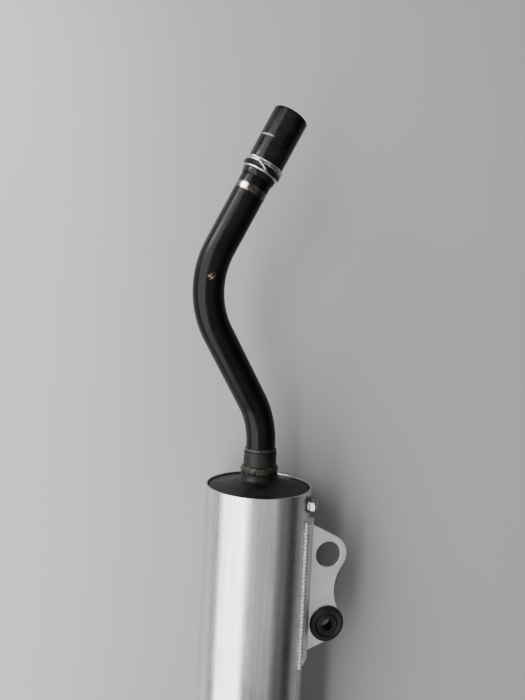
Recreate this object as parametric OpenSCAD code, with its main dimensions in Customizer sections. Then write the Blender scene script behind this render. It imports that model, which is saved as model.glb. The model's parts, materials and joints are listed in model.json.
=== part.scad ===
// Round two-stroke silencer with an S-bent inlet pipe, a wired rubber connecting sleeve and a side bracket.
// +Y runs along the can towards the inlet and +Z is up. The origin is the centre of the outlet's open end.

/* [Can] */
// Outside diameter of the can
can_d = 80; // [76:0.5:84]
// Thickness of the can's wall
can_wall = 1.5; // [1:0.1:2]
// Length of the can
can_length = 270; // [240:5:320]
// How far the outlet tube stands out behind the can
outlet_reach = 30; // [26:1:40]

/* [Caps] */
// Thickness of the pressed caps
cap_wall = 1.5; // [1.2:0.1:1.8]
// Depth of each cap's flange inside the can
flange_depth = 20; // [18:0.5:24]
// How far each cap's face domes out past its shoulder
dome_rise = 3; // [2:0.5:4]
// Outside diameter of the front cap's neck
neck_d = 28; // [27:0.5:30]
// Height of the neck above the can's rim
neck_height = 9; // [8:0.5:10]

/* [Inlet pipe] */
// Outside diameter of the inlet pipe
pipe_d = 22; // [22:0.5:23]
// Thickness of the pipe's wall
pipe_wall = 1.5; // [1.2:0.1:1.8]
// Straight length before the first bend
first_straight = 18; // [14:0.5:24]
// Centreline radius of the first bend
lower_bend_r = 60; // [55:1:65]
// Angle of the first bend, in degrees
lower_bend_angle = 34; // [30:0.5:38]
// Straight length between the bends
middle_straight = 58; // [50:1:64]
// Centreline radius of the second bend
upper_bend_r = 64; // [58:1:68]
// Angle of the second bend, in degrees
upper_bend_angle = 56.5; // [50:0.5:60]
// Straight length from the second bend to the sleeve's open end
end_run = 100; // [98:1:106]
// Outside diameter of the collar that the pipe is welded into
collar_d = 24.6; // [24.6:0.2:25.4]
// Height of the collar's top above the can's rim
collar_top = 25; // [24:0.5:27]

/* [Connecting sleeve] */
// Outside diameter of the rubber sleeve
sleeve_d = 24.9; // [24.6:0.1:25.5]
// Length of the rubber sleeve
sleeve_length = 49; // [47:0.5:52]
// Outside diameter of the spigot inside the sleeve
spigot_d = 20; // [19:0.5:20.5]
// Bore at the sleeve's open end, which takes the expansion chamber
mouth_bore_d = 21; // [20.5:0.1:21.4]
// Radial running clearance between moving pieces
clearance = 0.05; // [0.03:0.01:0.1]
// Diameter of the clamp's wire
wire_d = 1.8; // [1.6:0.1:2]

/* [Bracket] */
// Thickness of the bracket's sheet
bracket_t = 3; // [2.5:0.25:4]
// How far the plate slopes down from level, in degrees
plate_slope = 14; // [14:1:20]
// Diameter of the bracket's two grommet holes
grommet_hole_d = 19.5; // [18:0.5:20]
// Outside diameter of the rubber grommet
grommet_d = 26.5; // [25:0.5:27]
// Bore of the steel bush in the grommet, for an 8 mm bolt
bush_bore_d = 9; // [8.4:0.1:9.2]

/* [Fasteners] */
// Shank diameter of the cap bolts
bolt_d = 6; // [5:0.5:6]
// Across-flats width of the bolt heads and weld nuts
hex_af = 10; // [9:0.5:10.5]
// Angle of the first cap bolt above the bracket side, in degrees
bolt_angle = 19; // [15:1:24]

/* [Core] */
// Diameter of the holes in the core tube
core_hole_d = 4; // [3:0.5:5]
// Distance between rings of holes along the core
core_hole_pitch = 16; // [14:1:20]

/* [Hidden] */

fine = 96;
pipe_sides = 36;
can_r = can_d / 2;
can_in = can_r - can_wall;
rear = outlet_reach;                  // the can's rear rim
rim = rear + can_length;              // the can's front rim
flange_r = can_in - 0.1;
flange_in = flange_r - cap_wall;
shoulder_r = 2.5;
neck_r = neck_d / 2;
collar_r = collar_d / 2;
pipe_r = pipe_d / 2;
pipe_in = pipe_r - pipe_wall;
core_r = pipe_r;                      // the core is rolled to the pipe's size, so both fit the collar
core_wall = 1;
core_front = rim + 10;                // the core's end inside the collar
pipe_start = rim + 12;                // the pipe's end inside the collar
wool_r = core_r + 3;
outlet_r = core_r + 1.5;
outlet_mouth_r = core_r + 0.4;        // the outlet's free end is opened out slightly
core_rear = 24;                       // the core's end inside the outlet tube
cap_bolt_y = rim - 10;
bolt_angles = [bolt_angle, bolt_angle + 190];   // the second bolt sits lower on the far side
rivet_y = rear + 9;
rivet_angles = [45, 135, 225, 315];
rivet_r = 2.4;
packing_inset = 24;                   // from each rim, clear of the caps' flanges
core_hole_inset = 35;                 // from the rear rim to the first ring of holes

// How the pipe is turned about its own axis before each bend, in degrees
first_roll = -143;
second_roll = -198.5;
sleeve_start = end_run - sleeve_length;
shoulder_gap = 0.1;                   // between the sleeve's edge and the stub's shoulder
stub_start = end_run - 60;            // where the stub is welded to the bent pipe
seam_length = 5;
spigot_length = 25;
spigot_r = spigot_d / 2;
sleeve_r = sleeve_d / 2;
sleeve_bore_r = spigot_r + clearance;

// Stations along the sleeve, measured from its edge on the pipe
wire_r = wire_d / 2;
lower_hoop_s = 4.9;
upper_hoop_s = 9.4;
hoop_pitch = wire_d - 0.05;
hoops = [[lower_hoop_s, sleeve_r - 0.6], [upper_hoop_s, sleeve_r + 0.3],
    [upper_hoop_s + hoop_pitch, sleeve_r + 0.3]];

// Bracket: the foot hugs the can, and the plate stands out from the corner line
foot_in_r = can_r;
foot_out_r = can_r + bracket_t;
foot_low = 2.5;
foot_high = 27;
foot_front = rim - 23;
foot_length = 103;
corner_z = 5;
corner_x = sqrt(pow(foot_out_r, 2) - pow(corner_z, 2));
upper_lobe = [12.8, -50.4];           // along the plate from the corner line, and along the can from the rim
upper_lobe_r = 14.6;
lower_lobe = [14.1, -102.9];
lower_lobe_r = 12.8;
waist_r = 32;
root_front = -27.5;
root_rear = -122.3;
weld_bead_r = 2;
upper_bead = [rim - 129, rim - 20.5];
lower_bead = [rim + lower_lobe[1] + grommet_d / 2 + 2, rim - 24];    // stops short of the grommet
bush_r = 5.8;
grommet_lip = 3.6;
bush_length = 2 * grommet_lip + bracket_t - 0.8;

bolt_r = bolt_d / 2;
washer_t = 1.6;
washer_r = 6;
head_h = 4;
shank_length = 12;
nut_h = 5;

// The unit vector from one point to another
function unit(from, to) = (to - from) / norm(to - from);
// A direction at an angle in a plane
function polar(a) = [cos(a), sin(a)];
// The point where a line from p touches a circle, on the chosen side
function touch(p, c, r, side) =
    let (d = p - c, base = atan2(d[1], d[0]), swing = acos(r / norm(d)))
    c + r * polar(base + side * swing);
// The centre of a circle of radius r3 that touches two circles from outside, to their right
function outer_touch(c1, r1, c2, r2, r3) =
    let (d = norm(c2 - c1), a = r1 + r3, b = r2 + r3, t = (a * a - b * b + d * d) / (2 * d),
        h = sqrt(a * a - t * t), u = (c2 - c1) / d)
    c1 + t * u + h * [-u[1], u[0]];

waist_c = outer_touch(upper_lobe, upper_lobe_r, lower_lobe, lower_lobe_r, waist_r);

// Stands a profile drawn upwards along the can
module along_can() { rotate([-90, 0, 0]) children(); }

// Turns a piece drawn on the +X side to an angle round the can, with up as positive
module round_can(angle, y) { translate([0, y, 0]) rotate([0, -angle, 0]) children(); }

// Revolves a profile of [radius, station] points about the can's axis
module turned(points) { along_can() rotate_extrude($fn = fine) polygon(points); }

// Moves a piece from the start of a bend to its end
module after_bend(radius, angle) {
    translate([radius, 0, 0]) rotate([0, angle, 0]) translate([-radius, 0, 0]) children();
}

// Each place along the pipe, where a piece drawn along +Z continues it
module at_pipe_start() { translate([0, pipe_start, 0]) rotate([-90, 0, 0]) children(); }
module at_lower_bend() { at_pipe_start() translate([0, 0, first_straight]) rotate(first_roll) children(); }
module at_middle() { at_lower_bend() after_bend(lower_bend_r, lower_bend_angle) children(); }
module at_upper_bend() { at_middle() translate([0, 0, middle_straight]) rotate(second_roll) children(); }

// Places a piece drawn along +Z on the end run of the pipe, s from the second bend
module on_run(s) {
    at_upper_bend() after_bend(upper_bend_r, upper_bend_angle) translate([0, 0, s]) children();
}

// Revolves a profile of [radius, station] points about the end run
module run_turned(s, points) { on_run(s) rotate_extrude($fn = fine) polygon(points); }

// Round holes through a cap's flange and the can's wall, one at each angle
module wall_holes(angles, y, r) {
    for (a = angles) round_can(a, y) translate([flange_in - 3, 0, 0]) rotate([0, 90, 0])
        cylinder(h = can_r, r = r, $fn = 48);
}

module can_shell() {
    color("silver") difference() {
        turned([[can_in, rear], [can_r - 0.4, rear], [can_r, rear + 0.4], [can_r, rim - 0.4],
            [can_r - 0.4, rim], [can_in, rim]]);
        wall_holes(bolt_angles, cap_bolt_y, bolt_r + 0.3);
        wall_holes(rivet_angles, rivet_y, rivet_r);
    }
}

// A pressed cap, drawn facing forwards: flange, rounded shoulder, domed face and a neck round the opening
module pressed_cap(neck_out, neck_in, neck_h) {
    face = -1;
    rotate_extrude($fn = fine) difference() {
        union() {
            translate([0, -flange_depth]) square([flange_r, flange_depth + face - shoulder_r]);
            translate([0, face - shoulder_r - 0.01]) square([flange_r - shoulder_r, shoulder_r + 0.01]);
            translate([flange_r - shoulder_r, face - shoulder_r]) circle(shoulder_r, $fn = 48);
            polygon([[0, face - 1], [flange_r - shoulder_r, face - 1], [flange_r - shoulder_r, face],
                [neck_out + 6, dome_rise - 0.6], [neck_out + 2.2, dome_rise + 0.2],
                [neck_out + 0.5, dome_rise + 1.6], [neck_out, dome_rise + 3.2],
                [neck_out, neck_h], [0, neck_h]]);
        }
        translate([-1, -flange_depth - 1])
            square([flange_in + 1, flange_depth + 1 + face - shoulder_r]);
        polygon([[-1, face - shoulder_r - 1], [flange_in, face - shoulder_r - 1],
            [flange_in, face - shoulder_r], [flange_in - 1, face - cap_wall],
            [neck_out + 5, dome_rise - cap_wall - 0.6],
            [neck_in, dome_rise - cap_wall], [-1, dome_rise - cap_wall]]);
        translate([-1, -flange_depth]) square([neck_in + 1, flange_depth + neck_h + 1]);
    }
}

module front_cap() {
    color("#1b1b1d") difference() {
        translate([0, rim, 0]) along_can() pressed_cap(neck_r, collar_r, neck_height);
        wall_holes(bolt_angles, cap_bolt_y, bolt_r + 0.3);
    }
}

module rear_cap() {
    color("#1b1b1d") difference() {
        translate([0, rear, 0]) mirror([0, 1, 0]) along_can() pressed_cap(outlet_r + 1.5, outlet_r, 5.5);
        wall_holes(rivet_angles, rivet_y, rivet_r);
    }
}

// A rough weld bead all round a tube: a rounded ridge between two stations
module ring_weld(from, to, r_tube, height) {
    mid = (from + to) / 2;
    turned([[r_tube, from], [r_tube + height * 0.75, from + (to - from) * 0.12],
        [r_tube + height, mid], [r_tube + height * 0.7, to - (to - from) * 0.14], [r_tube, to]]);
}

module neck_weld() { color("#332d28") ring_weld(rim + neck_height, rim + 14.6, collar_r, 2.3); }

module inlet_collar() {
    color("#1b1b1d") turned([[pipe_r, rim + 2], [collar_r, rim + 2], [collar_r, rim + collar_top],
        [pipe_r, rim + collar_top]]);
}

module collar_weld() { color("#332d28") ring_weld(rim + collar_top, rim + collar_top + 2.6, pipe_r, 1.2); }

// The pipe's stations are frames [x, y, direction, place], each carried on from the one before
function go(f, length) = [f[0], f[1], f[2], f[3] + length * f[2]];
function roll(f, a) = [cos(a) * f[0] + sin(a) * f[1], cos(a) * f[1] - sin(a) * f[0], f[2], f[3]];
function turn(f, radius, a) =
    let (x = cos(a) * f[0] - sin(a) * f[2])
    [x, f[1], sin(a) * f[0] + cos(a) * f[2], f[3] + radius * (f[0] - x)];
// Each ring of the wall is turned back by the rolls so far, so its sides run straight along the pipe
function wall_ring(f, rolled, r) =
    [for (k = [0:pipe_sides - 1]) let (a = 360 * k / pipe_sides - rolled)
        f[3] + r * (cos(a) * f[0] + sin(a) * f[1])];

module inlet_pipe() {
    lower_steps = 11;
    upper_steps = 18;
    start = [[1, 0, 0], [0, 0, -1], [0, 1, 0], [0, pipe_start, 0]];
    bend_a = roll(go(start, first_straight), first_roll);
    middle = turn(bend_a, lower_bend_r, lower_bend_angle);
    bend_b = roll(go(middle, middle_straight), second_roll);
    run = turn(bend_b, upper_bend_r, upper_bend_angle);
    stations = concat([[start, 0]],
        [for (i = [0:lower_steps])
            [turn(bend_a, lower_bend_r, lower_bend_angle * i / lower_steps), first_roll]],
        [for (i = [0:upper_steps])
            [turn(bend_b, upper_bend_r, upper_bend_angle * i / upper_steps), first_roll + second_roll]],
        [[go(run, stub_start), first_roll + second_roll]]);
    n = len(stations);
    m = pipe_sides;
    inner = n * m;
    color("#101012") polyhedron(
        points = [for (r = [pipe_r, pipe_in]) for (s = stations) each wall_ring(s[0], s[1], r)],
        faces = [
            for (i = [0:n - 2], k = [0:m - 1]) let (a = i * m + k, b = i * m + (k + 1) % m)
                [a, a + m, b + m, b],
            for (i = [0:n - 2], k = [0:m - 1]) let (a = inner + i * m + k, b = inner + i * m + (k + 1) % m)
                [a, b, b + m, a + m],
            for (k = [0:m - 1]) let (b = (k + 1) % m) [k, b, inner + b, inner + k],
            for (k = [0:m - 1]) let (a = (n - 1) * m + k, b = (n - 1) * m + (k + 1) % m)
                [a, inner + a, inner + b, b]],
        convexity = 6);
}

module stub_weld() {
    color("#8a7d70") run_turned(stub_start, [[pipe_in, 0], [pipe_r, 0], [pipe_r + 0.15, 0.6],
        [pipe_r + 0.15, seam_length - 0.6], [pipe_r, seam_length], [pipe_in, seam_length]]);
}

// The welded-on end of the pipe: full size up to its shoulder, then the spigot inside the sleeve
module inlet_stub() {
    s = stub_start + seam_length;
    shoulder = sleeve_start - shoulder_gap - s;
    tip = shoulder + spigot_length;
    color("#101012") run_turned(s, [[spigot_r - pipe_wall, 0], [pipe_r, 0], [pipe_r, shoulder],
        [spigot_r, shoulder], [spigot_r, tip - 0.6], [spigot_r - 0.6, tip], [spigot_r - pipe_wall, tip]]);
}

// The rubber sleeve: a thin lip on the pipe, grooves pressed in by the wire,
// and a wider bore at its open end
module connector_sleeve() {
    step = spigot_length + 1;
    color("#0c0c0d") difference() {
        run_turned(sleeve_start, [[sleeve_bore_r, 0], [pipe_r + 0.3, 0], [pipe_r + 0.9, 2.4],
            [sleeve_r - 0.4, 4], [sleeve_r - 0.1, 6], [sleeve_r + 1, 6.6], [sleeve_r + 1.3, 7.4],
            [sleeve_r + 0.9, 8.3], [sleeve_r + 0.1, 8.9], [sleeve_r, 12.5], [sleeve_r, sleeve_length - 1],
            [sleeve_r - 0.3, sleeve_length - 0.3], [sleeve_r - 1, sleeve_length],
            [mouth_bore_d / 2, sleeve_length], [mouth_bore_d / 2, step], [sleeve_bore_r, step]]);
        for (h = hoops) on_run(sleeve_start + h[0]) rotate_extrude($fn = fine)
            translate([h[1], 0]) circle(wire_r + clearance, $fn = 32);
    }
}

// The tie: two strands twisted together that cross over the rubber from one hoop to the other
tie_r = sleeve_r + 2.8;
tie_angle = -115;                     // of the tie's middle round the sleeve, close to its top
tie_sweep = -46;                      // how far round the sleeve it slants
tie_steps = 12;
tie_turns = 0.75;
strand_r = 0.7;
twist_r = 0.6;
strand_sides = 8;
function tie_point(side, i) =
    let (t = i / tie_steps, swell = 1 - pow(2 * t - 1, 4), spin = 360 * t * tie_turns + 180 * side,
        first = hoops[0], last = hoops[2], seat = first[1] + (last[1] - first[1]) * t + 1.35,
        r = seat + (tie_r - seat) * swell + twist_r * swell * sin(spin),
        a = tie_angle + tie_sweep * (t - 0.5) + 4 * twist_r * swell * cos(spin),
        s = first[0] + (last[0] - first[0]) * t)
    [r * cos(a), r * sin(a), s];

// A wire of round section swept along a short list of points
module swept_wire(points, r) {
    n = len(points);
    m = strand_sides;
    function heading(i) = unit(points[max(i - 1, 0)], points[min(i + 1, n - 1)]);
    function ring(i) = let (t = heading(i), u = unit([0, 0, 0], cross(t, [points[i][0], points[i][1], 0])),
        v = cross(t, u)) [for (k = [0:m - 1]) points[i] + r * (cos(360 * k / m) * u + sin(360 * k / m) * v)];
    polyhedron(points = [for (i = [0:n - 1]) each ring(i)],
        faces = concat([[for (k = [0:m - 1]) k]], [[for (k = [m - 1:-1:0]) (n - 1) * m + k]],
            [for (i = [0:n - 2], k = [0:m - 1])
                [i * m + k, (i + 1) * m + k, (i + 1) * m + (k + 1) % m, i * m + (k + 1) % m]]),
        convexity = 4);
}

module clamp_wire() {
    color("#b9b8b2") on_run(sleeve_start) union() {
        for (h = hoops) rotate_extrude($fn = fine) translate([h[1], h[0]]) circle(wire_r, $fn = 32);
        for (side = [0, 1]) swept_wire([for (i = [0:tie_steps]) tie_point(side, i)], strand_r);
    }
}

// The plate's outline: two lobes round the holes, joined by a concave waist
// and running back to the corner line
module plate_outline() {
    front = [0, root_front];
    back = [0, root_rear];
    difference() {
        union() {
            translate(upper_lobe) circle(upper_lobe_r, $fn = fine);
            translate(lower_lobe) circle(lower_lobe_r, $fn = fine);
            polygon([[-2.2, root_front], front, touch(front, upper_lobe, upper_lobe_r, -1), upper_lobe,
                waist_c, lower_lobe, touch(back, lower_lobe, lower_lobe_r, 1), back, [-2.2, root_rear]]);
        }
        translate(waist_c) circle(waist_r, $fn = 192);
        translate(upper_lobe) circle(d = grommet_hole_d, $fn = fine);
        translate(lower_lobe) circle(d = grommet_hole_d, $fn = fine);
    }
}

// Moves a piece drawn in the plate's own plane, its top face at zero, into place
module on_plate() { translate([corner_x, rim, corner_z]) rotate([0, plate_slope, 0]) children(); }

module mounting_bracket() {
    color("#c9c8c6") difference() {
        union() {
            on_plate() translate([0, 0, -bracket_t]) linear_extrude(bracket_t) plate_outline();
            translate([0, foot_front, 0]) rotate([90, 0, 0])
                rotate_extrude_sector(foot_low, foot_high, foot_in_r, foot_out_r, foot_length);
        }
        translate([0, foot_front - foot_length - 20, 0]) along_can()
            cylinder(h = foot_length + 40, r = can_r, $fn = 2 * fine);
    }
}

// A slice of a round wall, from one angle to another
module rotate_extrude_sector(low, high, r_in, r_out, length) {
    rotate([0, 0, low]) rotate_extrude(angle = high - low, $fn = 2 * fine)
        translate([r_in - 0.5, 0]) square([r_out - r_in + 0.5, length]);
}

// A bead along the can at an angle round it, with rounded ends
module long_weld(angle, r_centre, from, to) {
    difference() {
        round_can(angle, 0) translate([r_centre, 0, 0]) union() {
            translate([0, from + weld_bead_r, 0]) along_can()
                cylinder(h = to - from - 2 * weld_bead_r, r = weld_bead_r, $fn = 48);
            for (y = [from, to - 2 * weld_bead_r]) translate([0, y + weld_bead_r, 0])
                sphere(weld_bead_r, $fn = 48);
        }
        translate([0, from - 10, 0]) along_can() cylinder(h = to - from + 20, r = can_r, $fn = 2 * fine);
        mounting_bracket();
    }
}

module bracket_weld_upper() {
    color("#d6d4cf") long_weld(foot_high + 1.6, can_r + 1.1, upper_bead[0], upper_bead[1]);
}

module bracket_weld_lower() {
    color("#d6d4cf") long_weld(foot_low - 2.4, can_r + 1, lower_bead[0], lower_bead[1]);
}

// The grommet: two rounded lips with a groove for the plate, and a raised ring round the bore on each face
module bracket_grommet() {
    lip = grommet_d / 2;
    waist = grommet_hole_d / 2;
    half = bracket_t / 2;
    top = half + grommet_lip;
    half_profile = [[bush_r, 0], [bush_r, top - 0.4], [bush_r + 1.4, top - 0.4], [bush_r + 1.9, top - 1.4],
        [bush_r + 2.9, top - 1.4], [bush_r + 3.6, top], [lip - 2, top], [lip - 0.6, top - 0.8],
        [lip, top - 2], [lip, half + 0.4], [lip - 0.4, half], [waist, half], [waist, 0]];
    color("#121212") on_plate() translate([lower_lobe[0], lower_lobe[1], -half]) union() {
        rotate_extrude($fn = fine) polygon(half_profile);
        mirror([0, 0, 1]) rotate_extrude($fn = fine) polygon(half_profile);
    }
}

module grommet_bush() {
    color("#3a3a3c") on_plate() translate([lower_lobe[0], lower_lobe[1], -bracket_t / 2 - bush_length / 2])
        difference() {
            cylinder(h = bush_length, r = bush_r, $fn = fine);
            translate([0, 0, -1]) cylinder(h = bush_length + 2, d = bush_bore_d, $fn = fine);
        }
}

// Repeats a fastener at both cap bolt positions, drawn pointing outwards along +Z from the can's axis
module at_bolts() {
    for (a = bolt_angles) round_can(a, cap_bolt_y) rotate([0, 90, 0]) children();
}

module cap_bolts() {
    seat = can_r + washer_t;
    color("#c4c4c0") at_bolts() union() {
        translate([0, 0, seat]) cylinder(h = head_h, d = hex_af / cos(30), $fn = 6);
        translate([0, 0, seat - shank_length]) cylinder(h = shank_length + 1, r = bolt_r, $fn = 48);
    }
}

module cap_washers() {
    color("#c4c4c0") at_bolts() translate([0, 0, can_r]) difference() {
        cylinder(h = washer_t, r = washer_r, $fn = 64);
        translate([0, 0, -1]) cylinder(h = washer_t + 2, r = bolt_r + 0.2, $fn = 48);
    }
}

module cap_nuts() {
    seat = sqrt(pow(flange_in, 2) - pow(hex_af / cos(30) / 2, 2)) - 0.02;
    color("#8d8d8a") at_bolts() translate([0, 0, seat - nut_h]) difference() {
        cylinder(h = nut_h, d = hex_af / cos(30), $fn = 6);
        translate([0, 0, -1]) cylinder(h = nut_h + 2, r = bolt_r, $fn = 48);
    }
}

module core_tube() {
    rings = floor((can_length - 2 * core_hole_inset) / core_hole_pitch);
    first = rear + core_hole_inset;
    color("#9a958d") difference() {
        turned([[core_r - core_wall, core_rear], [core_r, core_rear], [core_r, core_front],
            [core_r - core_wall, core_front]]);
        for (i = [0:rings], a = [0:45:135]) translate([0, first + i * core_hole_pitch, 0])
            rotate([0, a + (i % 2) * 22.5, 0])
                cylinder(h = 2 * core_r + 4, d = core_hole_d, center = true, $fn = 24);
    }
}

module core_wool() {
    from = rear + packing_inset;
    to = rim - packing_inset;
    color("#8f8f8c") turned([[core_r, from], [wool_r, from], [wool_r, to], [core_r, to]]);
}

module packing() {
    out = can_in - 0.1;
    from = rear + packing_inset;
    to = rim - packing_inset;
    color("#e9e3cf") turned([[wool_r, from], [out, from], [out, to], [wool_r, to]]);
}

module rear_rivets() {
    flare_r = 3;
    flare = sqrt(pow(flange_in, 2) - pow(flare_r, 2)) - 0.05;    // clear of the flange's curved inside
    color("#c4c4c0") for (a = rivet_angles) round_can(a, rivet_y) rotate([0, 90, 0]) union() {
        translate([0, 0, can_r]) cylinder(h = 1.4, r1 = 4, r2 = 3, $fn = 48);
        translate([0, 0, flare - 0.5]) cylinder(h = can_r - flare + 1, r = rivet_r, $fn = 48);
        translate([0, 0, flare - 3]) cylinder(h = 3, r1 = rivet_r, r2 = flare_r, $fn = 48);
    }
}

module outlet_pipe() {
    inner = rear + 12;
    color("#101012") turned([[core_r, inner], [outlet_r, inner], [outlet_r, 0.5], [outlet_r - 0.5, 0],
        [outlet_mouth_r, 0], [outlet_mouth_r, core_rear], [core_r, core_rear]]);
}

module outlet_weld() { color("#332d28") ring_weld(rear - 8.6, rear - 5.5, outlet_r, 2); }

can_shell();
front_cap();
neck_weld();
inlet_collar();
collar_weld();
inlet_pipe();
stub_weld();
inlet_stub();
connector_sleeve();
clamp_wire();
mounting_bracket();
bracket_weld_upper();
bracket_weld_lower();
bracket_grommet();
grommet_bush();
cap_bolts();
cap_washers();
cap_nuts();
core_tube();
core_wool();
packing();
rear_cap();
rear_rivets();
outlet_pipe();
outlet_weld();
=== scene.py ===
"""The looks of a round two-stroke silencer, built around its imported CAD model.

Shapes are written in millimetres, as in part.scad, and scaled to metres in the row frame.
"""

import json
import math

import bmesh
import bpy
from mathutils import Matrix, Vector, noise


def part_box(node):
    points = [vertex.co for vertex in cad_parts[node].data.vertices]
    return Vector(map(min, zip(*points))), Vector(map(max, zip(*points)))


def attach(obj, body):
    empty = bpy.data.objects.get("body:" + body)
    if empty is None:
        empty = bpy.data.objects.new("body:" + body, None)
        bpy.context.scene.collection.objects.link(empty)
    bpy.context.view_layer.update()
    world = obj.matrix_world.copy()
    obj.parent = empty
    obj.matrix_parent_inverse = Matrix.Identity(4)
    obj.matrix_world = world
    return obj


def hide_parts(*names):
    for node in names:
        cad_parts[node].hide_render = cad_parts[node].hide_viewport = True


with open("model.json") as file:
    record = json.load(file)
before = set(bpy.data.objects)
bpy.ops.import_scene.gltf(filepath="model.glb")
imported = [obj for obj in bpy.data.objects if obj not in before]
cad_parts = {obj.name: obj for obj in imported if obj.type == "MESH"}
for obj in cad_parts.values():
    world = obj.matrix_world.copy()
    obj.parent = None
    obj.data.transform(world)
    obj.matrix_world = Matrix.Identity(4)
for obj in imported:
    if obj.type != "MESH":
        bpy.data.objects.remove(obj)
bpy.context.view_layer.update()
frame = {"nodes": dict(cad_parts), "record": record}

# ---- Driving sizes, in millimetres, as in part.scad ----
MM = 0.001
ALONG = Vector((0, 1, 0))  # the can's axis, from its outlet to its inlet
CAN_R = 40.0
CAN_IN = 38.5
REAR = 30.0  # the can's rear and front edges, as stations on its axis
RIM = 300.0
FLANGE_R = 38.4
CAP_WALL = 1.5
FLANGE_DEPTH = 20.0
DOME = 3.0
NECK_R = 14.0
COLLAR_R = 12.3
COLLAR_BASE = 2.0  # the collar's ends, from the rim
COLLAR_TOP = 25.0
PIPE_R = 11.0
PIPE_IN = 9.5
PIPE_START = RIM + 12
FIRST_STRAIGHT = 18.0
FIRST_ROLL = -143.0
LOWER_BEND = (60.0, 34.0)  # radius, degrees
MIDDLE = 58.0
SECOND_ROLL = -198.5
PIPE_ROLL = FIRST_ROLL + SECOND_ROLL
UPPER_BEND = (64.0, 56.5)
END_RUN = 100.0
STUB_START = END_RUN - 60
SEAM = 5.0
SLEEVE_LEN = 49.0
SLEEVE_R = 12.45
SLEEVE_START = END_RUN - SLEEVE_LEN
SPIGOT_R = 10.0
SPIGOT_LEN = 25.0
STUB_IN = SPIGOT_R - 1.5
SHOULDER_GAP = 0.1  # between the sleeve's edge and the stub's shoulder
MOUTH_R = 10.5
WIRE_R = 0.9
HOOPS = [(4.9, SLEEVE_R - 0.6), (9.4, SLEEVE_R + 0.3), (11.15, SLEEVE_R + 0.3)]
BRACKET_T = 3.0
SLOPE = math.radians(14)
CORNER_Z = 5.0
CORNER = (math.sqrt((CAN_R + BRACKET_T) ** 2 - CORNER_Z**2), CORNER_Z)  # x and z of the plate's corner line
UPPER_LOBE, UPPER_LOBE_R = (12.8, -50.4), 14.6
LOWER_LOBE, LOWER_LOBE_R = (14.1, -102.9), 12.8
WAIST_R = 32.0
ROOT_FRONT, ROOT_REAR = -27.5, -122.3
ROOT_DEPTH = -2.2  # how far the plate runs on into the foot
FOOT_FRONT, FOOT_LENGTH = -23.0, 103.0
FOOT_LOW, FOOT_HIGH = math.radians(2.5), math.radians(27)
HOLE_R = 9.75
GROMMET_R = 13.25
BUSH_R = 5.8
BUSH_HOLE_R = 4.5
GROMMET_LIP = 3.6
BOLT_ANGLES = (19.0, 209.0)  # the second bolt sits lower on the far side
BOLT_Y = RIM - 10
HEX_AF = 10.0  # across flats
HEAD_H = 4.0
SHANK_R = 3.0
SHANK_LENGTH = 11.9
WASHER_R, WASHER_HOLE_R, WASHER_T = 6.0, 3.2, 1.6
OUTLET_R = 12.5
OUTLET_MOUTH_R = 11.4
OUTLET_MOUTH_DEPTH = 24.0
OUTLET_FRONT = REAR + 12  # where the outlet pipe ends inside the can


# ---- Meshes ----
def linked(name, data):
    """A new object in the scene."""
    o = bpy.data.objects.new(name, data)
    bpy.context.scene.collection.objects.link(o)
    return o


def smooth(me, sharp):
    """Shades a mesh smooth except along edges sharper than an angle in degrees."""
    me.polygons.foreach_set("use_smooth", [True] * len(me.polygons))
    me.set_sharp_from_angle(angle=math.radians(sharp))


def axes_at(origin, x, y, z):
    """The matrix that carries local axes and their origin into the scene."""
    return Matrix.Translation(origin) @ Matrix((x, y, z)).transposed().to_4x4()


def around(centre, r, a, x, y):
    """The point at radius r and angle a about a centre, in the plane of x and y."""
    return centre + r * (math.cos(a) * x + math.sin(a) * y)


def band(first, second, count):
    """Quads between two closed rings of points, which start at the given indices."""
    return [
        (first + k, first + (k + 1) % count, second + (k + 1) % count, second + k)
        for k in range(count)
    ]


def new_object(name, verts, faces, sharp=35):
    """A mesh object from points in millimetres, smooth except along edges sharper than the given angle."""
    me = bpy.data.meshes.new(name)
    me.from_pydata([tuple(c * MM for c in v) for v in verts], [], faces)
    me.validate()
    bm = bmesh.new()
    bm.from_mesh(me)
    bmesh.ops.recalc_face_normals(bm, faces=bm.faces)
    bm.to_mesh(me)
    bm.free()
    smooth(me, sharp)
    return linked(name, me)


def arc(c, r, a0, a1, n):
    """Points on an arc about c, from angle a0 to a1 in degrees."""
    angles = [math.radians(a0 + (a1 - a0) * i / n) for i in range(n + 1)]
    return [(c[0] + r * math.cos(a), c[1] + r * math.sin(a)) for a in angles]


def rounded(points, radii, n=5):
    """A closed profile with each corner rounded to its radius, or all of them to one."""
    out = []
    count = len(points)
    for i, p in enumerate(points):
        r = radii[i] if isinstance(radii, (list, tuple)) else radii
        p = Vector(p)
        a, b = Vector(points[i - 1]) - p, Vector(points[(i + 1) % count]) - p
        cut = min(r, a.length * 0.45, b.length * 0.45)
        if cut < 1e-6:
            out.append(tuple(p))
            continue
        s, e = p + a.normalized() * cut, p + b.normalized() * cut
        for k in range(n + 1):
            t = k / n
            q = s * (1 - t) ** 2 + p * 2 * t * (1 - t) + e * t * t
            out.append((q.x, q.y))
    return out


def lathe(name, profile, place, segments=192, bump=None, sharp=35):
    """Revolves a closed [radius, station] profile.

    place(radius, angle, station) gives the point, and bump(angle, station, radius) adds to the radius.
    """
    verts, faces = [], []
    n = len(profile)
    for k in range(segments):
        a = 2 * math.pi * k / segments
        for r, s in profile:
            verts.append(place(r + (bump(a, s, r) if bump else 0), a, s))
    for k in range(segments):
        faces += band(k * n, (k + 1) % segments * n, n)
    return new_object(name, verts, faces, sharp)


def on_can_axis(r, a, s):
    return (r * math.cos(a), s, r * math.sin(a))


# A station of the pipe is (x, y, direction, place), and each is carried on from the one before
def go(f, length):
    return (f[0], f[1], f[2], f[3] + length * f[2])


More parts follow.
